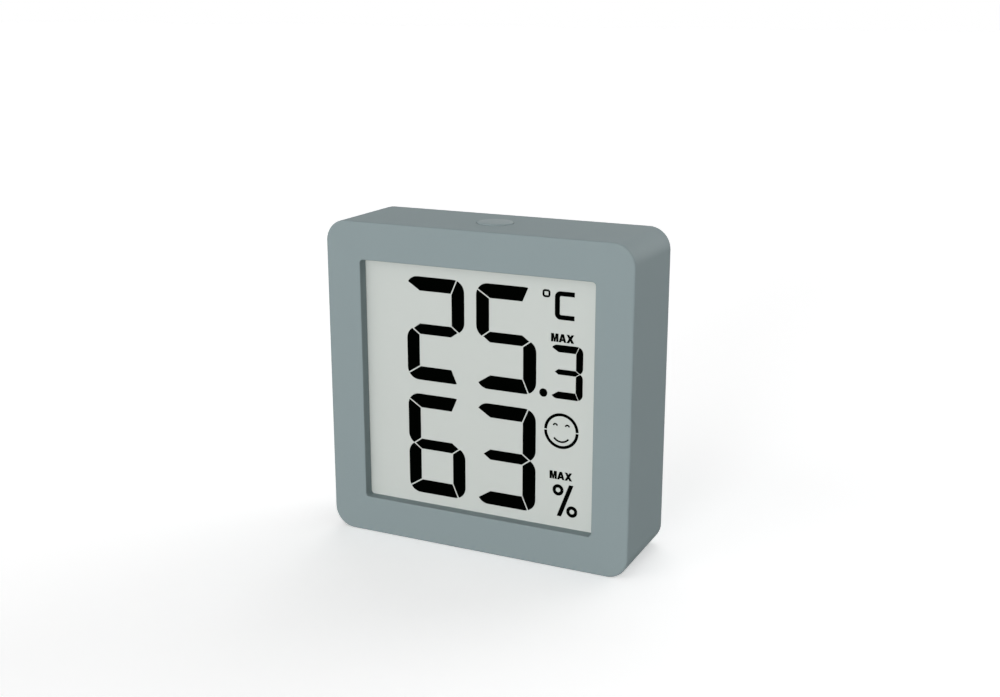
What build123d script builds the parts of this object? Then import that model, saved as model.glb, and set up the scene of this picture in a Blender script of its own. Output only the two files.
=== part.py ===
from build123d import *
import math
import os

# Indoor thermometer, in millimetres. X is to the right seen from the front, Y runs from the front
# face to the back, Z is up. The origin is on the table under the middle of the case.

# Case
body_height = 60.0
corner_radius = 4.0
side_wall = 2.0
front_wall = 2.0
bezel_width = 7.0
front_edge_radius = 0.35
overcut = 1.0
weld = 0.2
back_edge_radius = 0.2
window_corner_radius = 0.7
window_edge_radius = 0.2
rim_wall = 1.2

# Display cell, measured back from the bezel
film_thickness = 0.2
film_margin = 0.3
glass_thickness = 0.7
glass_lap = 1.0
glass_post_gap = 0.2
reflector_thickness = 0.25
holder_plate = 0.8
holder_gap = 0.3
holder_rim = 0.6
holder_opening_margin = 5.0
cell_gap = 0.1
zebra_margin = 0.5
zebra_end_margin = 3.5

# Circuit board
board_thickness = 0.8
board_side_gap = 0.6
board_tongue_margin = 1.5
wire_room = 7.4
boss_margin = 4.3
boss_top_margin = 3.4
boss_wall_gap = 0.1

# Small screws and their posts
screw_radius = 0.8
pilot_gap = 0.05
screw_hole_gap = 0.2
head_radius = 1.5
head_height = 0.9
head_round = 0.3
head_gap = 0.3
tip_gap = 0.2
cross_width = 0.5
cross_length = 1.8
cross_depth = 0.5
post_radius = 1.8
boss_radius = 1.6
board_screw_length = 3.6
cover_screw_length = 7.0
cover_web = 0.7

# Rear cover
cover_thickness = 1.8
cover_gap = 0.15
edge_break = 0.15

# Battery bay
cell_radius = 5.25
cell_length = 44.5
cell_shoulder = 0.6
cell_groove = 0.25
nub_radius = 1.9
nub_length = 0.9
bay_gap = 0.25
bay_wall = 1.0
bay_side_gap = 2.0
bay_post_gap = 0.7
bay_holder_gap = 0.55
press_rib_width = 1.2
press_rib_height = 4.0
press_rib_inset = 10.0

# Battery contacts
contact_thickness = 0.3
contact_width = 8.0
contact_corner = 2.0
contact_play = 0.1
dimple_radius = 1.5
dimple_height = 0.5
dimple_round = 0.25
tab_width = 2.4
tab_reach = 2.6
spring_length = 4.4
spring_wire = 0.5
spring_base_radius = 3.6
spring_tip_radius = 1.7
spring_turns = 4

# Battery door
door_thickness = 1.2
door_gap = 0.15
door_lift_gap = 0.2
door_ledge = 0.9
hook_width = 4.0
hook_inset = 11.0
hook_depth = 0.9
hook_reach = 1.4
hook_gap = 0.1
hook_web = 0.8
hook_slot_gap = 0.3
hook_swing_gap = 0.6
grip_count = 3
grip_pitch = 1.4
grip_length = 9.0
grip_width = 0.6
grip_depth = 0.35
notch_radius = 5.0
notch_depth = 0.9

# Buttons and their switches
button_travel = 0.4
button_rise = 0.35
button_crown = 0.15
button_length = 6.6
button_width = 6.0
button_edge_radius = 0.2
button_gap = 0.1
flange_lap = 0.7
flange_thickness = 0.8
flange_gap = 0.1
stem_length = 2.0
stem_width = 3.0
stem_thickness = 1.6
touch_gap = 0.05
top_switch_width = 6.0
top_switch_height = 3.6
top_switch_depth = 4.2
switch_chamfer = 0.3
plunger_reach = 1.1
plunger_root = 1.0
plunger_gap = 0.1
unit_button_radius = 2.25
unit_button_recess = 0.4
unit_stem_radius = 1.4
unit_button_inset = 10.4
unit_button_drop = 15.0
collar_wall = 1.0
collar_length = 2.0
unit_switch_size = 6.0
unit_switch_height = 3.5
unit_plunger_radius = 1.75
unit_plunger_reach = 0.9

# Keyhole and vents in the rear cover
keyhole_radius = 3.8
keyhole_slot = 3.8
keyhole_travel = 6.0
keyhole_drop = 22.0
keyhole_depth = 4.8
keyhole_undercut = 0.6
pocket_wall = 1.0
vent_count = 5
vent_pitch = 2.2
vent_width = 1.2
vent_length = 9.0
vent_inset = 9.4
vent_drop = 14.0

# Small parts on the board
blob_radius = 5.0
blob_height = 1.4
blob_x = -3.0
sensor_size = 3.0
sensor_height = 1.1
sensor_port_radius = 0.5
sensor_chamfer = 0.15
crystal_radius = 1.0
crystal_length = 6.2
crystal_round = 0.3
crystal_gap = 3.0
crystal_lead_radius = 0.2
crystal_lead_pitch = 0.7
crystal_lead_length = 1.6
chip_length = 1.6
chip_width = 0.8
capacitor_height = 0.8
resistor_height = 0.45
chip_pitch = 2.4
wire_radius = 0.5
wire_bend_share = 0.45
wire_stand_off = 4.2
wire_rise = 4.5

# The case is as wide as the cell with its contacts and walls, and as deep as the display, the cell
# behind it and the door take together
bay_length = cell_length + dimple_height + 2 * contact_thickness + spring_length
body_width = bay_length + 2 * (bay_wall + bay_side_gap + side_wall)
display_depth = film_thickness + 2 * glass_thickness + reflector_thickness + holder_plate
bay_depth = bay_holder_gap + bay_wall + 2 * (cell_radius + bay_gap)
body_depth = front_wall + display_depth + bay_depth + door_thickness

# Places that follow from the sizes above
front_face = -body_depth / 2
back_face = body_depth / 2
middle_height = body_height / 2
inner_width = body_width - 2 * side_wall
inner_height = body_height - 2 * side_wall
inner_radius = max(corner_radius - side_wall, front_edge_radius)
top_inside = body_height - side_wall

film_front = front_face + front_wall
glass_front = film_front + film_thickness
cell_plane = glass_front + glass_thickness
rear_glass_back = cell_plane + glass_thickness
reflector_back = rear_glass_back + reflector_thickness
board_front = reflector_back + holder_plate
board_back = board_front + board_thickness

post_x = body_width / 2 - corner_radius
post_low = corner_radius
post_high = body_height - corner_radius

window_width = body_width - 2 * bezel_width
window_height = body_height - 2 * bezel_width
window_top = body_height - bezel_width
glass_width = 2 * (post_x - post_radius - glass_post_gap)
glass_bottom = post_low + post_radius + glass_post_gap
rear_glass_top = window_top + glass_lap
front_glass_top = top_inside - holder_gap - holder_rim - cell_gap
zebra_height = (rear_glass_top + front_glass_top) / 2
zebra_width = front_glass_top - rear_glass_top - 2 * zebra_margin
zebra_length = glass_width - 2 * zebra_end_margin

cover_inside = back_face - cover_thickness
bay_radius = cell_radius + bay_gap
bay_floor_height = post_low + post_radius + bay_post_gap + bay_wall
cell_y = back_face - door_thickness - bay_radius
cell_z = bay_floor_height + bay_radius
bay_top = cell_z + bay_radius
bay_end = bay_length / 2
hook_offset = bay_end - hook_inset
press_rib_offset = bay_end - press_rib_inset
trough_top = bay_top + bay_wall
positive_plate_x = bay_end - contact_thickness
negative_plate_x = -bay_end + contact_thickness
cell_tip_x = positive_plate_x - dimple_height
cell_base_x = cell_tip_x - cell_length
tab_y = cell_y + tab_width / 2
tab_top = trough_top + tab_reach

board_bottom = trough_top + wire_room
board_shoulder = post_high - post_radius - 2 * holder_gap
board_top = zebra_height + zebra_width / 2 + cell_gap
board_half = inner_width / 2 - board_side_gap
tongue_half = glass_width / 2 - board_tongue_margin
boss_x = inner_width / 2 - boss_radius - boss_wall_gap
boss_low = board_bottom + boss_margin
boss_high = board_shoulder - boss_top_margin

crown_radius = (button_length ** 2 / 4 + button_crown ** 2) / (2 * button_crown)
flange_top = top_inside - flange_gap
flange_bottom = flange_top - flange_thickness
top_plunger_top = flange_bottom - stem_length - touch_gap
top_switch_top = top_plunger_top - plunger_reach
top_switch_bottom = top_switch_top - top_switch_height
top_stem_y = board_back + top_switch_depth / 2

unit_button_x = board_half - unit_button_inset
unit_button_z = body_height - unit_button_drop
collar_end = cover_inside - collar_length
unit_switch_top = board_back + unit_switch_height
unit_plunger_top = unit_switch_top + unit_plunger_reach

hinge_z = bay_floor_height + door_gap
door_inside = back_face - door_thickness
door_top = bay_top + door_ledge - door_lift_gap
door_half = bay_end + door_ledge - door_gap
hook_back = cover_inside - hook_gap
hook_front = hook_back - hook_depth

keyhole_z = body_height - keyhole_drop
keyhole_floor = back_face - keyhole_depth
vent_x = vent_inset - board_half
vent_z = body_height - vent_drop
crystal_x = blob_x + blob_radius + crystal_gap
part_row_z = (board_bottom + boss_high) / 2


# Builders that the pieces share


def prism(outline, y_low, y_high):
    """An outline drawn in X and Z, made solid from y_low to y_high."""
    sheet = Plane((0, y_high, 0), x_dir=(1, 0, 0), z_dir=(0, -1, 0))
    return extrude(sheet * outline, amount=y_high - y_low)


def bar(section, x_low, x_high):
    """A section drawn in Y and Z, made solid from x_low to x_high."""
    sheet = Plane((x_low, 0, 0), x_dir=(0, 1, 0), z_dir=(1, 0, 0))
    return extrude(sheet * section, amount=x_high - x_low)


def column(outline, z_low, z_high):
    """An outline drawn in X and Y, made solid from z_low to z_high."""
    return extrude(Pos(0, 0, z_low) * outline, amount=z_high - z_low)


def rectangle(low_u, high_u, low_v, high_v):
    """A rectangle between two corners of its drawing plane."""
    centre = Pos((low_u + high_u) / 2, (low_v + high_v) / 2)
    return centre * Rectangle(high_u - low_u, high_v - low_v)


def square_outline(width, height, radius):
    """A rounded rectangle about the middle of the case, in X and Z."""
    return Pos(0, middle_height) * RectangleRounded(width, height, radius)


def stadium(length, width):
    """A long rounded outline about its own centre."""
    return SlotOverall(length, width)


def post_places():
    """The four corner places in X and Z of the posts for the cover screws."""
    return [(side * post_x, z) for side in (-1, 1) for z in (post_low, post_high)]


def boss_places():
    """The four places in X and Z of the bosses under the board."""
    return [(side * boss_x, z) for side in (-1, 1) for z in (boss_low, boss_high)]


def save(piece, name):
    """Write one piece as a STEP file."""
    export_step(piece, os.path.join("parts", name + ".step"))


# Case


def corner_web(x, z):
    """A post's round section with the webs that tie it to both walls of its corner."""
    out_x = math.copysign(inner_width / 2 + weld, x)
    out_z = side_wall - weld if z < middle_height else top_inside + weld
    toward_x = x - math.copysign(post_radius, x)
    toward_z = z + post_radius if z < middle_height else z - post_radius
    upright = rectangle(min(x, out_x), max(x, out_x), min(toward_z, out_z), max(toward_z, out_z))
    level = rectangle(min(toward_x, out_x), max(toward_x, out_x), min(z, out_z), max(z, out_z))
    return Pos(x, z) * Circle(post_radius) + upright + level


def boss_web(x, z):
    """A boss's round section with the short web that ties it to the side wall."""
    out_x = math.copysign(inner_width / 2 + weld, x)
    web = rectangle(min(x, out_x), max(x, out_x), z - boss_radius / 2, z + boss_radius / 2)
    return Pos(x, z) * Circle(boss_radius) + web


def make_front_housing():
    """Case: bezel and side walls in one moulding, with posts, bosses and the button's hole."""
    shell = prism(square_outline(body_width, body_height, corner_radius), front_face, back_face)
    shell = fillet(shell.faces().sort_by(Axis.Y)[0].edges(), front_edge_radius)
    shell = fillet(shell.faces().sort_by(Axis.Y)[-1].edges(), back_edge_radius)
    window = square_outline(window_width, window_height, window_corner_radius)
    shell -= prism(window, front_face - overcut, film_front + overcut)
    window_rim = shell.faces().sort_by(Axis.Y)[0].inner_wires()[0].edges()
    shell = fillet(window_rim, window_edge_radius)
    shell -= prism(square_outline(inner_width, inner_height, inner_radius), film_front, back_face)
    rim_width = body_width - 2 * rim_wall
    rim_height = body_height - 2 * rim_wall
    rim_outline = square_outline(rim_width, rim_height, corner_radius - rim_wall)
    shell -= prism(rim_outline, cover_inside, back_face)
    for x, z in post_places():
        shell += prism(corner_web(x, z), film_front - weld, cover_inside)
    for x, z in boss_places():
        shell += prism(boss_web(x, z), film_front - weld, board_front)
    for x, z in post_places():
        hole = Pos(x, z) * Circle(screw_radius + pilot_gap)
        shell -= prism(hole, cover_inside - cover_screw_length, cover_inside)
    for x, z in boss_places():
        hole = Pos(x, z) * Circle(screw_radius + pilot_gap)
        shell -= prism(hole, board_back - board_screw_length - tip_gap, board_front)
    opening = stadium(button_length + 2 * button_gap, button_width + 2 * button_gap)
    shell -= column(opening, top_inside - overcut, body_height + overcut)
    return shell


# Display cell


def make_lcd_front_polariser():
    """Matt grey film on the front glass, seen in the window."""
    width = glass_width - 2 * film_margin
    low = glass_bottom + film_margin
    high = rear_glass_top - film_margin
    return prism(rectangle(-width / 2, width / 2, low, high), film_front, glass_front)


def make_lcd_front_glass():
    """Front glass, longer at the top so that its contacts face the board."""
    outline = rectangle(-glass_width / 2, glass_width / 2, glass_bottom, front_glass_top)
    return prism(outline, glass_front, cell_plane)


def make_lcd_rear_glass():
    """Rear glass, which stops below the contact ledge."""
    outline = rectangle(-glass_width / 2, glass_width / 2, glass_bottom, rear_glass_top)
    return prism(outline, cell_plane, rear_glass_back)


def make_lcd_reflector():
    """Rear film with its silvery reflector."""
    width = glass_width - 2 * film_margin
    low = glass_bottom + film_margin
    high = rear_glass_top - film_margin
    return prism(rectangle(-width / 2, width / 2, low, high), rear_glass_back, reflector_back)


def make_lcd_holder():
    """Moulded frame round the cell, with the zebra strip's slot and notches for the bosses."""
    half = inner_width / 2 - holder_gap
    low = side_wall + holder_gap
    holder = prism(rectangle(-half, half, low, top_inside - holder_gap), film_front, board_front)
    pocket = glass_width / 2 + cell_gap
    front_pocket = rectangle(-pocket, pocket, glass_bottom - cell_gap, front_glass_top + cell_gap)
    holder -= prism(front_pocket, film_front, cell_plane)
    rear_pocket = rectangle(-pocket, pocket, glass_bottom - cell_gap, rear_glass_top + cell_gap)
    holder -= prism(rear_pocket, film_front, reflector_back)
    light_width = window_width - 2 * holder_opening_margin
    light_height = window_height - 2 * holder_opening_margin
    light = square_outline(light_width, light_height, corner_radius)
    holder -= prism(light, film_front, board_front)
    slot_half = zebra_length / 2 + cell_gap
    low_slot = zebra_height - zebra_width / 2 - cell_gap
    high_slot = zebra_height + zebra_width / 2 + cell_gap
    holder -= prism(rectangle(-slot_half, slot_half, low_slot, high_slot), film_front, board_front)
    for x, z in post_places():
        reach = post_radius + holder_gap
        corner_x = math.copysign(half + overcut, x)
        near_x = x - math.copysign(reach, x)
        corner_z = low - overcut if z < middle_height else top_inside + overcut
        near_z = z + reach if z < middle_height else z - reach
        low_x, high_x = sorted((corner_x, near_x))
        low_z, high_z = sorted((corner_z, near_z))
        holder -= prism(rectangle(low_x, high_x, low_z, high_z), film_front, board_front)
    for x, z in boss_places():
        side = math.copysign(1, x)
        low_x, high_x = sorted((side * (half + overcut), side * (pocket - cell_gap)))
        reach = boss_radius + holder_gap
        holder -= prism(rectangle(low_x, high_x, z - reach, z + reach), film_front, board_front)
    return holder


def make_zebra_strip():
    """Rubber connector strip, pinched between the glass ledge and the board."""
    low = zebra_height - zebra_width / 2
    high = zebra_height + zebra_width / 2
    outline = rectangle(-zebra_length / 2, zebra_length / 2, low, high)
    return prism(outline, cell_plane, board_front)


# Circuit board and what is soldered to it


def make_circuit_board():
    """Board with a tongue over the zebra strip and four screw holes."""
    outline = rectangle(-board_half, board_half, board_bottom, board_shoulder)
    outline += rectangle(-tongue_half, tongue_half, board_shoulder - overcut, board_top)
    for x, z in boss_places():
        outline -= Pos(x, z) * Circle(screw_radius + screw_hole_gap)
    return prism(outline, board_front, board_back)


def make_controller_blob():
    """Shallow drop of black epoxy over the bonded chip."""
    ball_radius = (blob_radius ** 2 + blob_height ** 2) / (2 * blob_height)
    centre = Pos(blob_x, board_back + blob_height - ball_radius, part_row_z)
    ball = centre * Sphere(ball_radius)
    above = Pos(blob_x, part_row_z) * Circle(blob_radius + overcut)
    return ball & prism(above, board_back, board_back + blob_height + overcut)


def make_humidity_sensor():
    """Square sensor package with its port, behind the vents."""
    outline = Pos(vent_x, vent_z) * Rectangle(sensor_size, sensor_size)
    body = prism(outline, board_back, board_back + sensor_height)
    body = chamfer(body.faces().sort_by(Axis.Y)[-1].edges(), sensor_chamfer)
    port = Pos(vent_x, vent_z) * Circle(sensor_port_radius)
    return body - prism(port, board_back + sensor_height / 2, board_back + sensor_height)


def make_quartz_crystal():
    """Small can that lies on the board, with two bent leads."""
    axis_y = board_back + crystal_radius
    can = bar(Pos(axis_y, part_row_z) * Circle(crystal_radius), crystal_x, crystal_x + crystal_length)
    can = fillet(can.edges().sort_by(Axis.X)[-1], crystal_round)
    end_x = crystal_x - crystal_lead_length
    for side in (-1, 1):
        z = part_row_z + side * crystal_lead_pitch / 2
        can += bar(Pos(axis_y, z) * Circle(crystal_lead_radius), end_x, crystal_x)
        foot = Pos(end_x, z) * Circle(crystal_lead_radius)
        can += prism(foot, board_back, axis_y + crystal_lead_radius)
    return can


def chip(x, z, height):
    """One small ceramic chip lying on the board."""
    outline = Pos(x, z) * Rectangle(chip_length, chip_width)
    return prism(outline, board_back, board_back + height)


def make_chip_capacitors():
    """Three chip capacitors in a column beside the controller."""
    x = blob_x - blob_radius - chip_pitch
    return [chip(x, part_row_z + step * chip_pitch, capacitor_height) for step in (-1, 0, 1)]


def make_chip_resistors():
    """Four chip resistors in a row under the crystal."""
    z = part_row_z - crystal_radius - chip_pitch
    return [chip(crystal_x + step * chip_pitch, z, resistor_height) for step in range(4)]


def make_top_switch_body():
    """Right-angle push switch on the board, under the top button."""
    half = top_switch_width / 2
    outline = rectangle(-half, half, top_switch_bottom, top_switch_top)
    body = prism(outline, board_back, board_back + top_switch_depth)
    body = chamfer(body.edges().filter_by(Axis.Z), switch_chamfer)
    socket = Pos(0, top_stem_y) * Rectangle(
        stem_width + 2 * plunger_gap, stem_thickness + 2 * plunger_gap
    )
    depth = plunger_root + button_travel + plunger_gap
    return body - column(socket, top_switch_top - depth, top_switch_top)


def make_top_switch_plunger():
    """Plunger of the switch under the top button."""
    section = Pos(0, top_stem_y) * Rectangle(stem_width, stem_thickness)
    return column(section, top_switch_top - plunger_root, top_plunger_top)


def make_unit_switch_body():
    """Square push switch behind the small rear button."""
    outline = Pos(unit_button_x, unit_button_z) * Rectangle(unit_switch_size, unit_switch_size)
    body = prism(outline, board_back, unit_switch_top)
    body = chamfer(body.faces().sort_by(Axis.Y)[-1].edges(), switch_chamfer)
    socket = Pos(unit_button_x, unit_button_z) * Circle(unit_plunger_radius + plunger_gap)
    depth = plunger_root + button_travel + plunger_gap
    return body - prism(socket, unit_switch_top - depth, unit_switch_top)


def make_unit_switch_plunger():
    """Round plunger of the rear switch."""
    section = Pos(unit_button_x, unit_button_z) * Circle(unit_plunger_radius)
    return prism(section, unit_switch_top - plunger_root, unit_plunger_top)


# Screws


def screw(x, z, under_head, length):
    """Pan-head screw along Y with a cross recess, its thread left plain."""
    head = prism(Pos(x, z) * Circle(head_radius), under_head, under_head + head_height)
    head = fillet(head.edges().sort_by(Axis.Y)[-1], head_round)
    cross = Pos(x, z) * (Rectangle(cross_length, cross_width) + Rectangle(cross_width, cross_length))
    head -= prism(cross, under_head + head_height - cross_depth, under_head + head_height)
    shank = prism(Pos(x, z) * Circle(screw_radius), under_head - length, under_head)
    return head + shank


def make_board_screws():
    """Four screws that pinch the board and the display cell to the bezel."""
    return [screw(x, z, board_back, board_screw_length) for x, z in boss_places()]


def make_cover_screws():
    """Four sunk screws that hold the rear cover to the corner posts."""
    seat = cover_inside + cover_web
    length = cover_screw_length + cover_web - tip_gap
    return [screw(x, z, seat, length) for x, z in post_places()]


# Rear cover


def trough_section(radius, back):
    """A half-round floor towards the front and straight walls to the back, in Y and Z."""
    round_floor = Pos(cell_y, cell_z) * Circle(radius)
    return round_floor + rectangle(cell_y, back, cell_z - radius, cell_z + radius)


def add_battery_bay(cover):
    """Trough for the cell, with ribs that press the display holder."""
    trough_end = bay_end + bay_wall
    cover += bar(trough_section(bay_radius + bay_wall, cover_inside), -trough_end, trough_end)
    for side in (-1, 1):
        x = side * press_rib_offset
        rib = rectangle(
            x - press_rib_width / 2,
            x + press_rib_width / 2,
            cell_z - press_rib_height / 2,
            cell_z + press_rib_height / 2,
        )
        cover += prism(rib, board_front, cell_y)
    return cover


def cut_battery_bay(cover):
    """Hollow of the trough, the door's recess, the hook slots and the contact slots."""
    cover -= bar(trough_section(bay_radius, back_face), -bay_end, bay_end)
    recess_end = bay_end + door_ledge
    recess = rectangle(-recess_end, recess_end, bay_floor_height, bay_top + door_ledge)
    cover -= prism(recess, door_inside, back_face)
    slot_half = hook_width / 2 + hook_slot_gap
    slot_front = hook_front - hook_swing_gap
    for side in (-1, 1):
        x = side * hook_offset
        slot_low = bay_floor_height - bay_wall - weld
        slot = rectangle(x - slot_half, x + slot_half, slot_low, bay_floor_height + weld)
        cover -= prism(slot, slot_front, cover_inside)
    for plate_x in (-bay_end, positive_plate_x):
        slot = rectangle(
            plate_x - contact_play,
            plate_x + contact_thickness + contact_play,
            bay_top - overcut,
            trough_top + overcut,
        )
        slot_low = tab_y - tab_width / 2 - contact_play
        cover -= prism(slot, slot_low, tab_y + tab_width / 2 + contact_play)
    notch = Pos(0, bay_top + door_ledge) * Circle(notch_radius)
    return cover - prism(notch, back_face - notch_depth, back_face)


def add_keyhole(cover):
    """Keyhole for a screw head, with a closed pocket behind it."""
    head_outline = Pos(0, keyhole_z + keyhole_travel / 2) * (
        Rot(0, 0, 90) * stadium(2 * keyhole_radius + keyhole_travel, 2 * keyhole_radius)
    )
    wall_outline = Pos(0, keyhole_z + keyhole_travel / 2) * (
        Rot(0, 0, 90)
        * stadium(
            2 * (keyhole_radius + keyhole_undercut + pocket_wall) + keyhole_travel,
            2 * (keyhole_radius + keyhole_undercut + pocket_wall),
        )
    )
    cover += prism(wall_outline, keyhole_floor - pocket_wall, cover_inside)
    cover -= prism(head_outline, keyhole_floor, cover_inside)
    cover -= prism(Pos(0, keyhole_z) * Circle(keyhole_radius), keyhole_floor, back_face)
    neck = rectangle(-keyhole_slot / 2, keyhole_slot / 2, keyhole_z, keyhole_z + keyhole_travel)
    neck += Pos(0, keyhole_z + keyhole_travel) * Circle(keyhole_slot / 2)
    return cover - prism(neck, keyhole_floor, back_face)


def make_rear_cover():
    """Flush rear cover with battery bay, keyhole, vents, button collar and screw seats."""
    width = body_width - 2 * rim_wall - 2 * cover_gap
    height = body_height - 2 * rim_wall - 2 * cover_gap
    radius = corner_radius - rim_wall - cover_gap
    cover = prism(square_outline(width, height, radius), cover_inside, back_face)
    cover = chamfer(cover.faces().sort_by(Axis.Y)[-1].edges(), edge_break)
    cover = add_battery_bay(cover)
    cover = cut_battery_bay(cover)
    cover = add_keyhole(cover)
    button_place = Pos(unit_button_x, unit_button_z)
    bore_radius = unit_button_radius + button_gap
    cover += prism(button_place * Circle(bore_radius + collar_wall), collar_end, cover_inside)
    cover -= prism(button_place * Circle(bore_radius), collar_end, back_face)
    for x, z in post_places():
        cover -= prism(Pos(x, z) * Circle(screw_radius + screw_hole_gap), cover_inside, back_face)
        cover -= prism(Pos(x, z) * Circle(head_radius + head_gap), cover_inside + cover_web, back_face)
    for step in range(vent_count):
        x = vent_x + (step - (vent_count - 1) / 2) * vent_pitch
        slot = Pos(x, vent_z) * (Rot(0, 0, 90) * stadium(vent_length, vent_width))
        cover -= prism(slot, cover_inside, back_face)
    return cover


# Buttons


def make_top_button():
    """Slightly crowned oval button with a retaining flange and a stem down to its switch."""
    cap_top = body_height + button_rise
    cap = column(stadium(button_length, button_width), flange_bottom, cap_top)
    cap &= Pos(0, 0, cap_top - crown_radius) * Sphere(crown_radius)
    cap = fillet(cap.faces().sort_by(Axis.Z)[-1].edges(), button_edge_radius)
    flange = stadium(button_length + 2 * flange_lap, button_width + 2 * flange_lap)
    cap += column(flange, flange_bottom, flange_top)
    stem = Pos(0, top_stem_y) * Rectangle(stem_width, stem_thickness)
    return cap + column(stem, flange_bottom - stem_length, flange_bottom)


def make_unit_button():
    """Small sunk button for the temperature unit, guided by the cover's collar."""
    place = Pos(unit_button_x, unit_button_z)
    flange_back = collar_end - flange_gap
    cap = prism(place * Circle(unit_button_radius), flange_back, back_face - unit_button_recess)
    cap = fillet(cap.edges().sort_by(Axis.Y)[-1], button_edge_radius)
    flange = place * Circle(unit_button_radius + flange_lap)
    cap += prism(flange, flange_back - flange_thickness, flange_back)
    stem = place * Circle(unit_stem_radius)
    return cap + prism(stem, unit_plunger_top + touch_gap, flange_back)


# Battery, its door, contacts and leads


def make_battery_cell():
    """Round cell with its nub, shoulder and crimped base, turned about its own axis."""
    can_end = cell_tip_x - nub_length
    with BuildSketch(Plane.XY) as half:
        with BuildLine():
            Polyline(
                (cell_base_x, 0),
                (cell_base_x, cell_radius - cell_shoulder),
                (cell_base_x + cell_groove, cell_radius - cell_groove),
                (cell_base_x + 3 * cell_groove, cell_radius),
                (can_end - cell_shoulder, cell_radius),
                (can_end, cell_radius - cell_shoulder),
                (can_end - cell_groove, cell_radius - 2 * cell_shoulder),
                (can_end - cell_groove, nub_radius + cell_groove),
                (can_end, nub_radius),
                (cell_tip_x - cell_groove, nub_radius),
                (cell_tip_x, nub_radius - cell_groove),
                (cell_tip_x, 0),
                close=True,
            )
        make_face()
    return Pos(0, cell_y, cell_z) * revolve(half.sketch, Axis.X)


def make_battery_door():
    """Flush door with two hooks under the sill and grip grooves at its free edge."""
    plate = prism(rectangle(-door_half, door_half, hinge_z, door_top), door_inside, back_face)
    plate = chamfer(plate.faces().sort_by(Axis.Y)[-1].edges(), edge_break)
    for side in (-1, 1):
        low_x = side * hook_offset - hook_width / 2
        high_x = side * hook_offset + hook_width / 2
        web = rectangle(low_x, high_x, hinge_z, hinge_z + hook_web)
        plate += prism(web, hook_front, door_inside)
        tongue = rectangle(low_x, high_x, hinge_z - hook_reach, hinge_z + hook_web)
        plate += prism(tongue, hook_front, hook_back)
    for step in range(grip_count):
        z = door_top - grip_pitch * (step + 1)
        groove = Pos(0, z) * stadium(grip_length, grip_width)
        plate -= prism(groove, back_face - grip_depth, back_face)
    return plate


def contact_plate(x_low):
    """Stamped plate with the tab that passes out through the trough's wall."""
    face = Pos(cell_y, cell_z) * RectangleRounded(contact_width, contact_width, contact_corner)
    low = tab_y - tab_width / 2
    high = tab_y + tab_width / 2
    face += rectangle(low, high, cell_z, tab_top)
    return bar(face, x_low, x_low + contact_thickness)


def make_positive_contact():
    """Plate with a pressed dimple that meets the cell's nub."""
    plate = contact_plate(positive_plate_x)
    dimple = Pos(cell_y, cell_z) * Circle(dimple_radius)
    dimple = bar(dimple, cell_tip_x, positive_plate_x)
    return plate + fillet(dimple.edges().sort_by(Axis.X)[0], dimple_round)


def make_negative_plate():
    """Plate that the contact spring stands on."""
    return contact_plate(-bay_end)


def spiral_point(turn):
    """Place and direction on the conical spring's centre line after so many turns."""
    rise = spring_length - spring_wire
    taper = spring_base_radius - spring_tip_radius
    share = turn / spring_turns
    radius = spring_base_radius - taper * share
    angle = 2 * math.pi * turn
    place = Vector(
        negative_plate_x + spring_wire / 2 + rise * share,
        cell_y + radius * math.cos(angle),
        cell_z + radius * math.sin(angle),
    )
    spin = 2 * math.pi * spring_turns
    along = Vector(
        rise,
        -taper * math.cos(angle) - radius * spin * math.sin(angle),
        -taper * math.sin(angle) + radius * spin * math.cos(angle),
    )
    return place, along.normalized()


def biarc(start, start_along, end, end_along):
    """Two arcs that leave start and reach end in the given directions."""
    gap = end - start
    both = start_along + end_along
    a = 2 * (start_along.dot(end_along) - 1)
    b = -2 * gap.dot(both)
    c = gap.dot(gap)
    reach = (-b - math.sqrt(b * b - 4 * a * c)) / (2 * a)
    first = start + start_along * reach
    second = end - end_along * reach
    middle = (first + second) * 0.5
    along = (second - first).normalized()
    return [TangentArc(start, middle, tangent=start_along), TangentArc(middle, end, tangent=along)]


def spring_path():
    """Centre line of the spring, a quarter turn to each biarc."""
    edges = []
    for step in range(4 * spring_turns):
        place, along = spiral_point(step / 4)
        next_place, next_along = spiral_point((step + 1) / 4)
        edges += biarc(place, along, next_place, next_along)
    return Wire(edges)


def make_negative_spring():
    """Conical contact spring in one unbroken wire."""
    path = spring_path()
    start, along = spiral_point(0)
    section = Plane(origin=start, z_dir=along) * Circle(spring_wire / 2)
    return sweep(section, path=path)


def report_spring_gap():
    """Print the least gap between neighbouring turns of the spring."""
    steps = 24
    points = [spiral_point(step / steps)[0] for step in range(steps * spring_turns + 1)]
    least = min(
        (points[low] - points[high]).length
        for low in range(len(points))
        for high in range(low + steps // 2, len(points))
    )
    print("spring: least gap between turns", round(least - spring_wire, 3), "mm")


def make_lead(plate_face, inward):
    """Insulated lead from a contact's tab to the board, one smooth route."""
    out_x = plate_face + inward * wire_stand_off
    low_z = trough_top + tab_reach / 2
    high_z = board_bottom + wire_rise
    route = [
        Vector(plate_face, tab_y, low_z),
        Vector(out_x, tab_y, low_z),
        Vector(out_x, tab_y, high_z),
        Vector(out_x, board_back, high_z),
    ]
    runs = [(after - before).length for before, after in zip(route, route[1:])]
    radii = [wire_bend_share * min(pair) for pair in zip(runs, runs[1:])]
    print("lead: radii", [round(radius, 2) for radius in radii])
    path = FilletPolyline(*route, radius=radii)
    section = Plane(origin=route[0], z_dir=(inward, 0, 0)) * Circle(wire_radius)
    return sweep(section, path=path)


# Assembly


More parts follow.
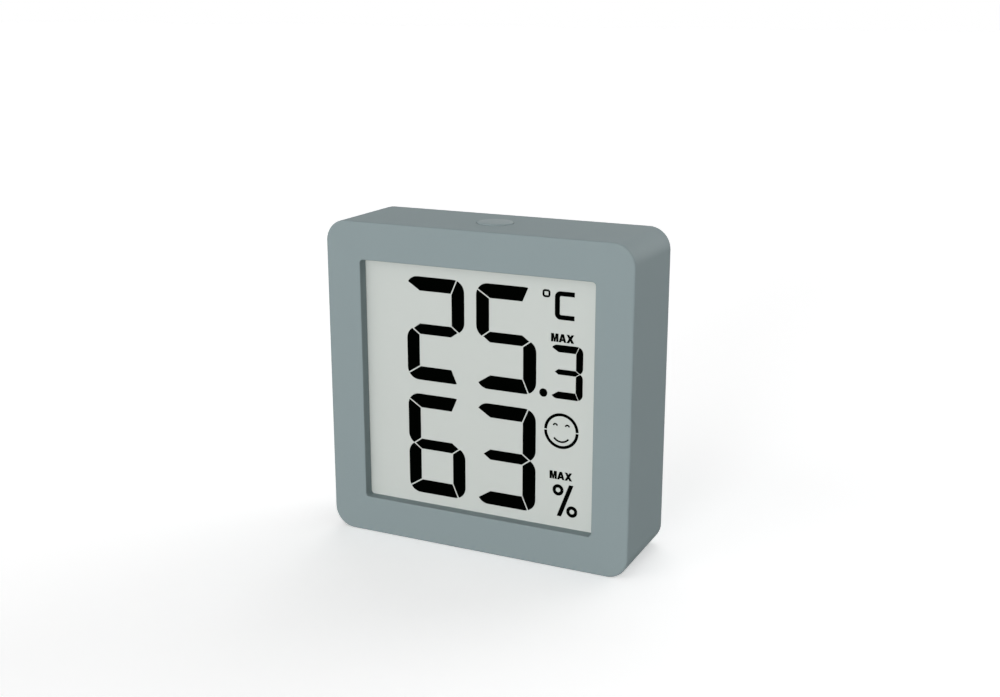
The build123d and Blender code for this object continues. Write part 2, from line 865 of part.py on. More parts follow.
def build_all():
    """Make every piece and write it under its own name."""
    os.makedirs("parts", exist_ok=True)
    save(make_front_housing(), "front_housing")
    save(make_lcd_front_polariser(), "lcd_front_polariser")
    save(make_lcd_front_glass(), "lcd_front_glass")
    save(make_lcd_rear_glass(), "lcd_rear_glass")
    save(make_lcd_reflector(), "lcd_reflector")
    save(make_lcd_holder(), "lcd_holder")
    save(make_zebra_strip(), "zebra_strip")
    save(make_circuit_board(), "circuit_board")
    save(make_controller_blob(), "controller_blob")
    save(make_humidity_sensor(), "humidity_sensor")
    save(make_quartz_crystal(), "quartz_crystal")
    save(Compound(children=make_chip_capacitors()), "chip_capacitors")
    save(Compound(children=make_chip_resistors()), "chip_resistors")
    save(make_top_switch_body(), "top_switch_body")
    save(make_top_switch_plunger(), "top_switch_plunger")
    save(make_unit_switch_body(), "unit_switch_body")
    save(make_unit_switch_plunger(), "unit_switch_plunger")
    save(Compound(children=make_board_screws()), "board_screws")
    save(make_rear_cover(), "rear_cover")
    save(Compound(children=make_cover_screws()), "cover_screws")
    save(make_top_button(), "top_button")
    save(make_unit_button(), "unit_button")
    save(make_battery_cell(), "battery_cell")
    save(make_battery_door(), "battery_door")
    save(make_positive_contact(), "positive_contact")
    save(make_negative_plate(), "negative_plate")
    save(make_negative_spring(), "negative_spring")
    save(make_lead(positive_plate_x, -1), "positive_wire")
    save(make_lead(negative_plate_x, 1), "negative_wire")
    report_spring_gap()


build_all()
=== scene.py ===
import math

import bmesh
import bpy
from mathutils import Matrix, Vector


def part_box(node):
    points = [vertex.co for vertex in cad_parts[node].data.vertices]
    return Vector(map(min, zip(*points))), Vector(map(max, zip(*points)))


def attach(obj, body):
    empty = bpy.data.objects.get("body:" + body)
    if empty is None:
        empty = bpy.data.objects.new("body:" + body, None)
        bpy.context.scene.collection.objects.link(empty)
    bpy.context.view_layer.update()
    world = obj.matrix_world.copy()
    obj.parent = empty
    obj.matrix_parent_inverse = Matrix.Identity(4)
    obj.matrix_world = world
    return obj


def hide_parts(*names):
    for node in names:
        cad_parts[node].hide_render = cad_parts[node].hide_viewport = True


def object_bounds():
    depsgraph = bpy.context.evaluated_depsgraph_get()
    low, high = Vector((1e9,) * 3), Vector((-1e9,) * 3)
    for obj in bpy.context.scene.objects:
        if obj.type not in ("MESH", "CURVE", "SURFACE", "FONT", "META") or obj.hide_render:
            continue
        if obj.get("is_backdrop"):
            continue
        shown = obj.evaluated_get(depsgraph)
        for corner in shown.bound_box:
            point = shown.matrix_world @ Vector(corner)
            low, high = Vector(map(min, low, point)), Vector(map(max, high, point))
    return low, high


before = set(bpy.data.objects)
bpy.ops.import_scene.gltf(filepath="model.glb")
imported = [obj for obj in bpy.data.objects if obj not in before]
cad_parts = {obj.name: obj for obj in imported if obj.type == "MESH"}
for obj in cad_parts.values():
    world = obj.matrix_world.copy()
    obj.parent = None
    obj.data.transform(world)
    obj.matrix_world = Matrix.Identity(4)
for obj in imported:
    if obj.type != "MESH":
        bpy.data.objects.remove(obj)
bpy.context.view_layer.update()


# Front housing

# One injection moulding in blue-grey ABS: bezel, side walls, screw posts and board bosses. The
# steel tool was spark eroded to a fine matt grain, so the skin is satin and shows no flow lines.
# Everything else in the product is fixed to it.

mm = 0.001


def linear(hex_colour):
    """An sRGB hex colour as the linear colour that a shader takes."""
    shares = [int(hex_colour[place:place + 2], 16) / 255 for place in (1, 3, 5)]
    return [s / 12.92 if s <= 0.04045 else ((s + 0.055) / 1.055) ** 2.4 for s in shares] + [1.0]


def add_node(tree, kind, sockets=(), **settings):
    """One node with its settings. A socket is given a number, a colour or another socket."""
    node = tree.nodes.new(kind)
    for name, value in settings.items():
        setattr(node, name, value)
    for key, value in dict(sockets).items():
        if isinstance(value, bpy.types.NodeSocket):
            tree.links.new(value, node.inputs[key])
        else:
            node.inputs[key].default_value = value
    return node


def grained(name, colour, shade, roughness, grain, depth, mottle=9.0, sockets=(), pattern=None):
    """A finish that drifts between two colours, or follows a pattern, under a fine grain.

    The grain's width and depth, and the mottle between the colours, are in millimetres.
    """
    material = bpy.data.materials.new(name)
    material.use_nodes = True
    tree = material.node_tree
    tree.nodes.clear()
    place = add_node(tree, "ShaderNodeTexCoord").outputs["Object"]
    drift = pattern(tree, place) if pattern else add_node(tree, "ShaderNodeTexNoise", {
        "Vector": place, "Scale": 1 / (mottle * mm)}).outputs[0]
    fine = add_node(tree, "ShaderNodeTexNoise", {
        "Vector": place, "Scale": 1 / (grain * mm), "Detail": 3.0, "Roughness": 0.6})
    blend = add_node(tree, "ShaderNodeMix", {
        0: drift, 6: linear(colour), 7: linear(shade)}, data_type="RGBA")
    uneven = 0.05
    polish = add_node(tree, "ShaderNodeMapRange", {
        "Value": fine.outputs[0], "To Min": roughness - uneven, "To Max": roughness + uneven})
    relief = add_node(tree, "ShaderNodeBump", {
        "Height": fine.outputs[0], "Distance": depth * mm, "Strength": 1.0})
    shader = add_node(tree, "ShaderNodeBsdfPrincipled", {
        "Base Color": blend.outputs[2], "Roughness": polish.outputs[0],
        "Normal": relief.outputs[0], **dict(sockets)})
    add_node(tree, "ShaderNodeOutputMaterial", {"Surface": shader.outputs[0]})
    return material


def new_tree(name, inputs):
    """An empty geometry tree with named inputs, and what its input node gives."""
    tree = bpy.data.node_groups.new(name, "GeometryNodeTree")
    tree.interface.new_socket("Geometry", in_out="OUTPUT", socket_type="NodeSocketGeometry")
    for label, kind in inputs.items():
        tree.interface.new_socket(label, in_out="INPUT", socket_type="NodeSocket" + kind)
    return tree, add_node(tree, "NodeGroupInput").outputs


# Joins a moulding's loose facets and keeps only its real edges sharp.
shading_tree, given = new_tree("moulded_shading", {
    "Geometry": "Geometry", "Join distance": "Float", "Edge angle": "Float"})
joined = add_node(shading_tree, "GeometryNodeMergeByDistance", {
    "Geometry": given["Geometry"], "Distance": given["Join distance"]})
soft = add_node(shading_tree, "GeometryNodeSetShadeSmooth", {
    "Geometry": joined.outputs[0], "Shade Smooth": True}, domain="FACE")
edge_angle = add_node(shading_tree, "GeometryNodeInputMeshEdgeAngle")
steep = add_node(shading_tree, "FunctionNodeCompare", {
    0: edge_angle.outputs[0], 1: given["Edge angle"]}, data_type="FLOAT", operation="GREATER_THAN")
sharp = add_node(shading_tree, "GeometryNodeSetShadeSmooth", {
    "Geometry": soft.outputs[0], "Selection": steep.outputs[0], "Shade Smooth": False},
    domain="EDGE")
add_node(shading_tree, "NodeGroupOutput", {0: sharp.outputs[0]})


def set_input(modifier, name, value):
    """Sets a modifier's named input by its socket's identifier."""
    for item in modifier.node_group.interface.items_tree:
        if item.item_type == "SOCKET" and item.in_out == "INPUT" and item.name == name:
            modifier[item.identifier] = value


facet_gap, moulded_edge = 0.001, 25.0


def shade_softly(piece, material, edge_angle):
    """Gives a piece its finish and smooth shading between its real edges."""
    piece.data.materials.clear()
    piece.data.materials.append(material)
    soft = piece.modifiers.new("shading", "NODES")
    soft.node_group = shading_tree
    set_input(soft, "Join distance", facet_gap * mm)
    set_input(soft, "Edge angle", math.radians(edge_angle))
    weigh = piece.modifiers.new("weighting", "WEIGHTED_NORMAL")
    weigh.keep_sharp = True


def finish_node(name, material, edge_angle=moulded_edge):
    """Finishes a piece that keeps its CAD shape."""
    shade_softly(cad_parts[name], material, edge_angle)


# Spark-eroded ABS: a soft satin with a grain too fine to catch a highlight.
case_abs = grained(
    "abs_blue_grey_moulded", "#8b989a", "#899698", 0.55, grain=0.16, depth=0.004,
    sockets={"IOR": 1.5, "Specular IOR Level": 0.035})
finish_node("front_housing", case_abs)


# Display cell

# A twisted nematic cell: two sheets of thin soda-lime glass, a matt grey polariser bonded to the
# front and a silvery reflector film behind. It is clamped against the back of the bezel.

# Polariser film with a matt hard coat: pale neutral grey, almost without gloss.
polariser_film = grained(
    "polariser_film_matt", "#c6cbc7", "#c4c9c5", 0.6, grain=0.1, depth=0.001,
    sockets={"IOR": 1.49, "Specular IOR Level": 0.1})
finish_node("lcd_front_polariser", polariser_film)
# Float glass: clear and smooth, with a faint green at its edges.
float_glass = grained(
    "glass_soda_lime_float", "#f2f7f4", "#eff5f1", 0.05, grain=2.0, depth=0.0005,
    sockets={"IOR": 1.52, "Transmission Weight": 0.9})
for pane in ("lcd_front_glass", "lcd_rear_glass"):
    finish_node(pane, float_glass)
# Aluminised film over a diffusing coat: a dull silver that throws the light back evenly.
reflector_film = grained(
    "aluminised_film_diffusing", "#c9ccca", "#c1c5c3", 0.4, grain=0.2, depth=0.002,
    sockets={"Metallic": 0.8})
finish_node("lcd_reflector", reflector_film)


# Dark segments of the display

# The cell darkens between etched electrodes of indium tin oxide, so the figures have crisp edges
# and hairline gaps. They lie just under the film and are drawn here as a very thin layer on it.

segment_depth = 0.03
film_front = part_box("lcd_front_polariser")[0].y / mm
arc_steps, fine_steps = 8, 16

# Darkened liquid crystal: a flat black with no gloss of its own.
segment_black = grained(
    "liquid_crystal_dark", "#020302", "#010201", 0.55, grain=0.1, depth=0.0005,
    sockets={"Specular IOR Level": 0.0})


def arc(centre, radius, start, end, steps=arc_steps):
    """Points on an arc, its angles in degrees anticlockwise from the right."""
    turns = [math.radians(start + (end - start) * step / steps) for step in range(steps + 1)]
    return [(centre[0] + radius * math.cos(t), centre[1] + radius * math.sin(t)) for t in turns]


def disc(centre, radius):
    """A round outline of 24 corners."""
    return arc(centre, radius, 0, 345, 23)


def rounded_box(low_x, low_z, high_x, high_z, radius):
    """A rectangle with round corners, anticlockwise."""
    left, right = low_x + radius, high_x - radius
    bottom, top = low_z + radius, high_z - radius
    return (arc((right, bottom), radius, -90, 0) + arc((right, top), radius, 0, 90)
            + arc((left, top), radius, 90, 180) + arc((left, bottom), radius, 180, 270))


def clipped(outline, cuts):
    """What an outline keeps on the left of each cut, a cut being two points and a clearance."""
    for (ax, az), (bx, bz), clearance in cuts:
        length = math.hypot(bx - ax, bz - az)
        kept = []
        heights = [((bx - ax) * (z - az) - (bz - az) * (x - ax)) / length - clearance
                   for x, z in outline]
        for index, (x, z) in enumerate(outline):
            after = (index + 1) % len(outline)
            here, there = heights[index], heights[after]
            if here >= 0:
                kept.append((x, z))
            if here * there < 0:
                share = here / (here - there)
                next_x, next_z = outline[after]
                kept.append((x + (next_x - x) * share, z + (next_z - z) * share))
        outline = kept
    return outline


def band(points, width):
    """The outline of a stroke of even width along an open line."""
    left, right = [], []
    for index, (x, z) in enumerate(points):
        before = points[max(index - 1, 0)]
        after = points[min(index + 1, len(points) - 1)]
        along = Vector((after[0] - before[0], after[1] - before[1])).normalized()
        left.append((x - along.y * width / 2, z + along.x * width / 2))
        right.append((x + along.y * width / 2, z - along.x * width / 2))
    return right + left[::-1]


def moved(outline, x, z, scale=1.0, stretch=1.0):
    """An outline scaled about its own origin, stretched sideways and set down at a place."""
    return [(x + u * scale * stretch, z + w * scale) for u, w in outline]


def mirrored(outline):
    """An outline turned upside down, still anticlockwise."""
    return [(u, -w) for u, w in outline[::-1]]


# One figure about its own centre, in millimetres: two rounded loops, parted by slanted cuts.
half_width, half_height = 5.9, 9.76
loop_radius, loop_foot = 2.3, -0.32
side_inner, bar_inner, middle_half = 3.34, 7.14, 0.98
cut_half, figure_scale = 0.12, 0.995
upper_loop = rounded_box(-half_width, loop_foot, half_width, half_height, loop_radius)
top_left_cut = ((-5.60, 8.56), (-3.20, 7.04))
top_right_cut = ((3.24, 7.02), (4.37, 9.60))
mid_left_cut = ((-4.66, 0.04), (-3.20, 1.10))
mid_right_cut = ((3.20, 1.10), (4.66, 0.04))
far = 20.0


def keep(cut, flip=False):
    """A cut with its clearance, keeping its left side, or its right side if flipped."""
    first, second = cut[::-1] if flip else cut
    return (first, second, cut_half)


def square_cut(axis, value, sign):
    """A cut across X or Z that keeps what lies above a value, or below it for a sign of -1."""
    if axis == "x":
        return ((value, 0.0), (value, -far * sign), 0.0)
    return ((0.0, value), (far * sign, value), 0.0)


segment_a = clipped(upper_loop, [
    square_cut("z", bar_inner, 1), keep(top_left_cut), keep(top_right_cut)])
segment_f = clipped(upper_loop, [
    square_cut("x", -side_inner, -1), keep(top_left_cut, True), keep(mid_left_cut)])
segment_b = clipped(upper_loop, [
    square_cut("x", side_inner, 1), keep(top_right_cut, True), keep(mid_right_cut)])
segment_g = clipped([(-far, -far), (far, -far), (far, far), (-far, far)], [
    square_cut("z", -middle_half, 1), square_cut("z", middle_half, -1),
    keep(mid_left_cut, True), keep(mid_right_cut, True),
    keep(mirrored(mid_left_cut), True), keep(mirrored(mid_right_cut), True)])
figure = {
    "a": segment_a, "b": segment_b, "c": mirrored(segment_b), "d": mirrored(segment_a),
    "e": mirrored(segment_f), "f": segment_f, "g": segment_g}
# The segments that each figure lights, by their usual letters.
lit = {"2": "abged", "3": "abgcd", "5": "afgcd", "6": "afgedc"}


def write_figure(digit, x, z, scale=figure_scale, stretch=1.0):
    """The outlines of a lit figure about its centre."""
    return [moved(figure[name], x, z, scale, stretch) for name in lit[digit]]


def add_prism(mesh, outline, low, high, upright=False):
    """One closed prism from an outline in X and Z, or in X and Y where it stands upright."""
    ends = []
    for level in (low, high):
        corners = [(u, w, level) if upright else (u, level, w) for u, w in outline]
        ends.append([mesh.verts.new([value * mm for value in corner]) for corner in corners])
    mesh.faces.new(ends[0])
    mesh.faces.new(ends[1][::-1])
    for index in range(len(outline)):
        after = (index + 1) % len(outline)
        mesh.faces.new((ends[0][index], ends[1][index], ends[1][after], ends[0][after]))


weld_distance = 0.0005


def as_object(name, mesh):
    """An object at the origin from a mesh in the making, its faces turned outwards."""
    bmesh.ops.remove_doubles(mesh, verts=mesh.verts, dist=weld_distance * mm)
    bmesh.ops.recalc_face_normals(mesh, faces=mesh.faces)
    data = bpy.data.meshes.new(name)
    mesh.to_mesh(data)
    mesh.free()
    piece = bpy.data.objects.new(name, data)
    bpy.context.scene.collection.objects.link(piece)
    return piece


def dress(piece, material, body="case"):
    """Gives a new piece its finish and the body that carries it."""
    piece.data.materials.clear()
    piece.data.materials.append(material)
    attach(piece, body)


def prisms(name, outlines, low, high, material):
    """Flat shapes of one thickness along Y as one piece."""
    mesh = bmesh.new()
    for outline in outlines:
        add_prism(mesh, outline, low, high)
    dress(as_object(name, mesh), material)


def lay_on_film(name, outlines):
    """Dark shapes on the front of the film."""
    prisms(name, outlines, film_front - segment_depth, film_front, segment_black)


temperature_z, humidity_z = 40.82, 18.70
first_x, second_x = -8.585, 5.53
tenths_x, tenths_z, tenths_scale, tenths_stretch = 17.22, 36.02, 0.5, 1.02
point_x, point_z, point_radius = 12.79, 31.87, 0.775
lay_on_film("temperature_figures", (
    write_figure("2", first_x, temperature_z) + write_figure("5", second_x, temperature_z)
    + write_figure("3", tenths_x, tenths_z, tenths_scale, tenths_stretch)
    + [disc((point_x, point_z), point_radius)]))
lay_on_film("humidity_figures", (
    write_figure("6", first_x, humidity_z) + write_figure("3", second_x, humidity_z)))

# Unit signs: a small square ring and a C with round left corners, and two rings and a slash.


def ring(centre_x, centre_z, radius, width):
    """A round ring as two half rings that meet."""
    return [band(arc((centre_x, centre_z), radius, start, start + 180, fine_steps), width)
            for start in (0, 180)]


degree_x, degree_z, degree_half_width, degree_half_height = 13.22, 49.83, 0.56, 0.52
degree_radius, degree_stroke = 0.3, 0.37
degree_box = rounded_box(
    degree_x - degree_half_width, degree_z - degree_half_height,
    degree_x + degree_half_width, degree_z + degree_half_height, degree_radius)
c_left, c_right, c_low, c_high = 14.82, 18.50, 45.40, 50.42
side_stroke, bar_stroke = 0.93, 0.84
outer_radius, inner_radius = 1.05, 0.25
outer_x, inner_x = c_left + outer_radius, c_left + side_stroke + inner_radius
c_outer = arc((outer_x, c_high - outer_radius), outer_radius, 90, 180) + arc(
    (outer_x, c_low + outer_radius), outer_radius, 180, 270)
c_inner = arc((inner_x, c_low + bar_stroke + inner_radius), inner_radius, 270, 180) + arc(
    (inner_x, c_high - bar_stroke - inner_radius), inner_radius, 180, 90)
c_shape = ([(c_right, c_high)] + c_outer + [(c_right, c_low), (c_right, c_low + bar_stroke)]
           + c_inner + [(c_right, c_high - bar_stroke)])
lay_on_film("celsius_sign", [band(degree_box + degree_box[:2], degree_stroke), c_shape])
slash = [(15.62, 9.11), (16.48, 9.11), (18.80, 15.30), (17.94, 15.30)]
percent_radius, percent_stroke = 0.76, 0.62
lay_on_film("percent_sign", (
    ring(15.83, 14.08, percent_radius, percent_stroke)
    + ring(18.54, 10.30, percent_radius, percent_stroke) + [slash]))

# Comfort sign: a plain smiling face, its ring in two halves as the electrodes need.
face_x, face_z, face_radius, face_stroke, face_gap = 16.31, 25.20, 3.02, 0.54, 2
eye_aside, eye_rise, eye_radius, eye_stroke = 1.15, 0.88, 0.36, 0.29
smile_drop, smile_radius, smile_stroke = 0.26, 1.76, 0.33
halves = [band(arc((face_x, face_z), face_radius, start + face_gap, start + 180 - face_gap,
                   2 * fine_steps), face_stroke) for start in (0, 180)]
eyes = [band(arc((face_x + side * eye_aside, face_z + eye_rise), eye_radius, 5, 175), eye_stroke)
        for side in (-1, 1)]
smile = band(arc((face_x, face_z - smile_drop), smile_radius, 218, 322, fine_steps), smile_stroke)
lay_on_film("comfort_sign", halves + eyes + [smile])

# The two memory signs are in plain bold capitals, 1.5 mm high, drawn on a square of one unit. A
# hairline slit in the A's bar lets its outline run round the hole.
capital, capital_stretch = 1.5, 0.95
letter_m = [(0, 0), (0.30, 0), (0.30, 0.52), (0.39, 0), (0.59, 0), (0.68, 0.52), (0.68, 0),
            (0.98, 0), (0.98, 1), (0.60, 1), (0.49, 0.44), (0.38, 1), (0, 1)]
letter_a = [(0, 0), (0.31, 0), (0.36, 0.17), (0.495, 0.17), (0.495, 0.40), (0.43, 0.40),
            (0.50, 0.62), (0.57, 0.40), (0.505, 0.40), (0.505, 0.17), (0.64, 0.17), (0.69, 0),
            (1, 0), (0.67, 1), (0.33, 1)]
letter_x = [(0, 0), (0.36, 0), (0.51, 0.26), (0.66, 0), (1.02, 0), (0.70, 0.51), (1.01, 1),
            (0.66, 1), (0.51, 0.77), (0.36, 1), (0.01, 1), (0.32, 0.51)]
letters = [(letter_m, 14.16), (letter_a, 15.61), (letter_x, 17.05)]
for name, sign_z in (("upper_memory_sign", 41.38), ("lower_memory_sign", 16.09)):
    lay_on_film(name, [
        moved(shape, x, sign_z, capital, capital_stretch) for shape, x in letters])


# Display holder

# A moulded frame in natural polystyrene that carries the cell. Its edge is notched round the posts
# and bosses, and the board pinches it against the back of the bezel.

# Unfilled polystyrene: a milky white with a slight gloss where the tool was polished.
holder_styrene = grained(
    "polystyrene_natural_moulded", "#e4e4de", "#dededa", 0.4, grain=0.2, depth=0.003)
finish_node("lcd_holder", holder_styrene)


# Connector strip

# Silicone rubber cast in thin slices, every second one loaded with carbon. Pressure alone joins
# the contacts on the glass ledge to the gilt fingers on the board.


def slices(tree, place):
    """Even bands along X. Real slices are 0.05 mm, drawn at 0.4 mm so that they show."""
    pitch = 0.4
    return add_node(tree, "ShaderNodeTexWave", {
        "Vector": place, "Scale": math.pi / (10 * pitch * mm)}).outputs["Fac"]


# Silicone rubber: a dull skin with fine dark stripes across it.
strip_rubber = grained(
    "silicone_carbon_slices", "#8e8b88", "#1d1d1e", 0.7, grain=0.18, depth=0.004, pattern=slices)
finish_node("zebra_strip", strip_rubber)


# Circuit board

# Glass-epoxy laminate 0.8 mm thick, routed to fit between the walls, with a tongue over the strip.
# Its etched copper runs under a green solder mask and is bare only at pads and fingers.

# Solder mask: a glossy green lacquer that sinks a little into the weave below it.
board_mask = grained(
    "laminate_green_solder_mask", "#1f5a3a", "#1b5134", 0.32, grain=0.5, depth=0.006)
finish_node("circuit_board", board_mask)
board_low, board_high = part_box("circuit_board")
board_front, board_back = board_low.y / mm, board_high.y / mm
copper = 0.035


def middle_of(name):
    """The middle of a CAD piece in millimetres."""
    return [round((low + high) / 2 / mm, 3) for low, high in zip(*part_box(name))]


# Where the copper has to reach: the bonded chip, the two rows of soldered chips, the crystal's
# pins, the legs of both switches and the leads.
blob_x = middle_of("controller_blob")[0]
capacitor_x, _, part_row_z = middle_of("chip_capacitors")
resistor_x, _, resistor_z = middle_of("chip_resistors")
chip_pitch, chip_half, chip_reach = 2.4, 0.8, 0.6
first_resistor_x, last_resistor_x = resistor_x - 1.5 * chip_pitch, resistor_x + 1.5 * chip_pitch
pin_x, pin_aside = 3.4, 0.35
unit_x, _, unit_z = middle_of("unit_switch_body")
leg_foot, leg_aside, top_leg_z = 3.9, 2.25, 51.2
lead_x, lead_z = 20.5, 31.4

# Copper under the mask: the same lacquer over metal, so it shows paler and stands proud.
mask_on_copper = grained(
    "copper_under_solder_mask", "#2f7a50", "#2b7049", 0.3, grain=0.4, depth=0.003)
signal_width, supply_width = 0.25, 0.6
# A fan of lines from the chip up to a row of vias.
fan_lines, fan_start, fan_end, turn_z, via_z = 12, 0.6, 1.7, 45.6, 49.4
signal_routes = []
for step in range(fan_lines):
    aside = step - (fan_lines - 1) / 2
    start, end = blob_x + fan_start * aside, blob_x + fan_end * aside
    turn = turn_z - 0.5 * abs(aside)
    signal_routes.append([
        (start, part_row_z + 3.0), (start, turn), (end, turn + abs(end - start)), (end, via_z)])
# Three lines that leave the sensor's side level and slant down to the chip.
sensor_side, sensor_line_z, sensor_pitch = -16.4, 45.1, 0.7
for step in range(3):
    level, slant = sensor_line_z + sensor_pitch * step, 32.6 + step
    bend, finish = slant - level, -7.0 + 0.3 * step
    signal_routes.append([(sensor_side, level), (bend, level), (finish, slant - finish)])
# Short lines on both sides of the capacitors, then those of the resistors from left to right.
for step in (-1, 0, 1):
    level = part_row_z + chip_pitch * step
    signal_routes.append([(capacitor_x + chip_reach, level), (-7.0, level)])
    signal_routes.append([(capacitor_x - 1.5, level), (capacitor_x - chip_reach, level)])
signal_routes.append([
    (first_resistor_x - chip_reach, resistor_z), (2.4, resistor_z), (1.0, resistor_z + 1.4)])
for step in range(3):
    left_chip = first_resistor_x + chip_pitch * step
    signal_routes.append([
        (left_chip + chip_reach, resistor_z), (left_chip + chip_pitch - chip_reach, resistor_z)])
signal_routes.append([
    (last_resistor_x + chip_reach, resistor_z), (17.0, resistor_z), (20.6, resistor_z + 3.6),
    (20.6, 42.2)])
# Lines from the chip to the unit switch and the crystal's pins, and one at the top switch.
signal_routes += [
    [(1.0, 40.8), (3.2, 43.0), (13.2, 43.0)],
    [(pin_x, part_row_z + pin_aside), (1.6, part_row_z + 0.75)],
    [(pin_x, part_row_z - pin_aside), (1.6, part_row_z - 0.75)],
    [(leg_foot, top_leg_z), (9.6, top_leg_z)]]
# The two wide lines of the supply, from the leads to the chip and to the capacitors.
supply_routes = [
    [(20.0, lead_z), (3.5, lead_z), (0.2, lead_z + 3.3)],
    [(-12.2, 41.2), (-12.2, lead_z + 1.6), (-13.8, lead_z), (-20.0, lead_z)]]
prisms("board_traces", (
    [band(route, signal_width) for route in signal_routes]
    + [band(route, supply_width) for route in supply_routes]),
    board_back, board_back + copper, mask_on_copper)

# Tinned copper: bright, slightly uneven metal where hot air levelled the solder.
tinned_copper = grained(
    "copper_tinned_levelled", "#cfd0cd", "#bfc1be", 0.25, grain=0.35, depth=0.006,
    sockets={"Metallic": 1.0})


def pad(x, z, width, height, corner=0.1):
    """The outline of one rounded pad about its centre."""
    return rounded_box(x - width / 2, z - height / 2, x + width / 2, z + height / 2, corner)


vias = [pad(*route[-1], width=0.7, height=0.7, corner=0.34)
        for route in signal_routes[:fan_lines]]
chip_places = [(capacitor_x, part_row_z + chip_pitch * step) for step in (-1, 0, 1)] + [
    (first_resistor_x + chip_pitch * step, resistor_z) for step in range(4)]
chip_pads = [pad(x + side * chip_half, z, width=0.7, height=1.0)
             for x, z in chip_places for side in (-1, 1)]
switch_pads = [pad(unit_x + side * leg_foot, unit_z + aside, width=1.4, height=1.0)
               for side in (-1, 1) for aside in (-leg_aside, leg_aside)]
top_switch_pads = [pad(side * leg_foot, top_leg_z, width=1.4, height=1.2) for side in (-1, 1)]
lead_pads = [pad(side * lead_x, lead_z, width=2.6, height=2.6, corner=1.2) for side in (-1, 1)]
prisms("board_pads", vias + chip_pads + switch_pads + top_switch_pads + lead_pads,
       board_back, board_back + 2 * copper, tinned_copper)

# Gilt copper: a thin soft gold over nickel, so contacts never tarnish.
gilt_copper = grained(
    "copper_gilt_contact", "#d9b45c", "#cfa94f", 0.22, grain=0.3, depth=0.002,
    sockets={"Metallic": 1.0})
finger_count, finger_pitch, finger_z = 37, 1.05, 55.4
fingers = [pad((step - (finger_count - 1) / 2) * finger_pitch, finger_z, width=0.55, height=2.0)
           for step in range(finger_count)]
prisms("contact_fingers", fingers, board_front - copper, board_front, gilt_copper)


# Components on the board

# The controller is a bare chip glued down and covered with a drop of epoxy. Round it sit a tuning
# fork crystal in a drawn can, a humidity sensor under the vents, and chips soldered by reflow.

# Epoxy: a black drop that cured with a smooth skin and slight waves.
drop_epoxy = grained("epoxy_black_cured", "#141414", "#1b1b1b", 0.22, grain=1.6, depth=0.02)
rounded_edge = 40.0
finish_node("controller_blob", drop_epoxy, rounded_edge)
# Moulding compound: opaque off-white with a dry, very fine grain.
sensor_shell = grained(
    "moulding_compound_white", "#e9e8e2", "#e2e1da", 0.5, grain=0.1, depth=0.002)
finish_node("humidity_sensor", sensor_shell)
# Nickel silver: a warm grey metal with faint drawing lines, seen as a soft gloss.
crystal_can = grained(
    "nickel_silver_drawn", "#c3c1bb", "#b9b7b0", 0.26, grain=0.15, depth=0.001,
    sockets={"Metallic": 1.0})
finish_node("quartz_crystal", crystal_can)


def bare_ends(material, axis, centre, half_length, colour, roughness, pitch=1000.0):
    """Bare metal further than half a length from a centre on an axis, repeated at a pitch.

    The default pitch is so long that nothing repeats.
    """
    tree = material.node_tree
    shader = tree.nodes["Principled BSDF"]
    place = add_node(tree, "ShaderNodeTexCoord").outputs["Object"]
    along = add_node(tree, "ShaderNodeSeparateXYZ", {0: place}).outputs[axis]
    nearest = add_node(tree, "ShaderNodeMath", {
        0: along, 1: (centre + pitch / 2) * mm, 2: (centre - pitch / 2) * mm}, operation="WRAP")
    aside = add_node(tree, "ShaderNodeMath", {
        0: nearest.outputs[0], 1: centre * mm}, operation="SUBTRACT")
    away = add_node(tree, "ShaderNodeMath", {0: aside.outputs[0]}, operation="ABSOLUTE")
    bare = add_node(tree, "ShaderNodeMath", {
        0: away.outputs[0], 1: half_length * mm}, operation="GREATER_THAN").outputs[0]
    skin = shader.inputs["Base Color"].links[0].from_socket
    body = shader.inputs["Roughness"].links[0].from_socket
    metal = add_node(tree, "ShaderNodeMix", {
        0: bare, 6: skin, 7: linear(colour)}, data_type="RGBA")
    smooth = add_node(tree, "ShaderNodeMix", {
        0: bare, 2: body, 3: roughness}, data_type="FLOAT")
    shine = bare
    if shader.inputs["Metallic"].links:
        shine = add_node(tree, "ShaderNodeMath", {
            0: bare, 1: shader.inputs["Metallic"].links[0].from_socket},
            operation="MAXIMUM").outputs[0]
    tree.links.new(metal.outputs[2], shader.inputs["Base Color"])
    tree.links.new(smooth.outputs[0], shader.inputs["Roughness"])
    tree.links.new(shine, shader.inputs["Metallic"])


# Fired ceramic: matt tan for the capacitors and a glazed black film for the resistors. Both have
# dipped metal ends 0.3 mm wide, which the solder wets.
capacitor_ceramic = grained(
    "ceramic_capacitor_fired", "#8c6f52", "#806548", 0.5, grain=0.1, depth=0.002)
dipped_end, dipped_tin, tin_roughness = 0.3, "#cccdca", 0.3
bare_ends(
    capacitor_ceramic, "X", capacitor_x, chip_half - dipped_end, dipped_tin, tin_roughness)
finish_node("chip_capacitors", capacitor_ceramic)
resistor_ceramic = grained(
    "ceramic_resistor_glazed", "#232527", "#1c1e20", 0.35, grain=0.1, depth=0.002)
bare_ends(
    resistor_ceramic, "X", first_resistor_x, chip_half - dipped_end, dipped_tin, tin_roughness,
    chip_pitch)
finish_node("chip_resistors", resistor_ceramic)


# Push switches

# Two bought switches in black nylon, one that is pushed along the board and one towards it. Their
# plungers rest on a snap dome inside, and their tinned legs are bent flat onto the pads.

# Glass-filled nylon: black with a dry grain.
switch_nylon = grained("nylon_black_moulded", "#1c1c1d", "#222223", 0.5, grain=0.12, depth=0.003)
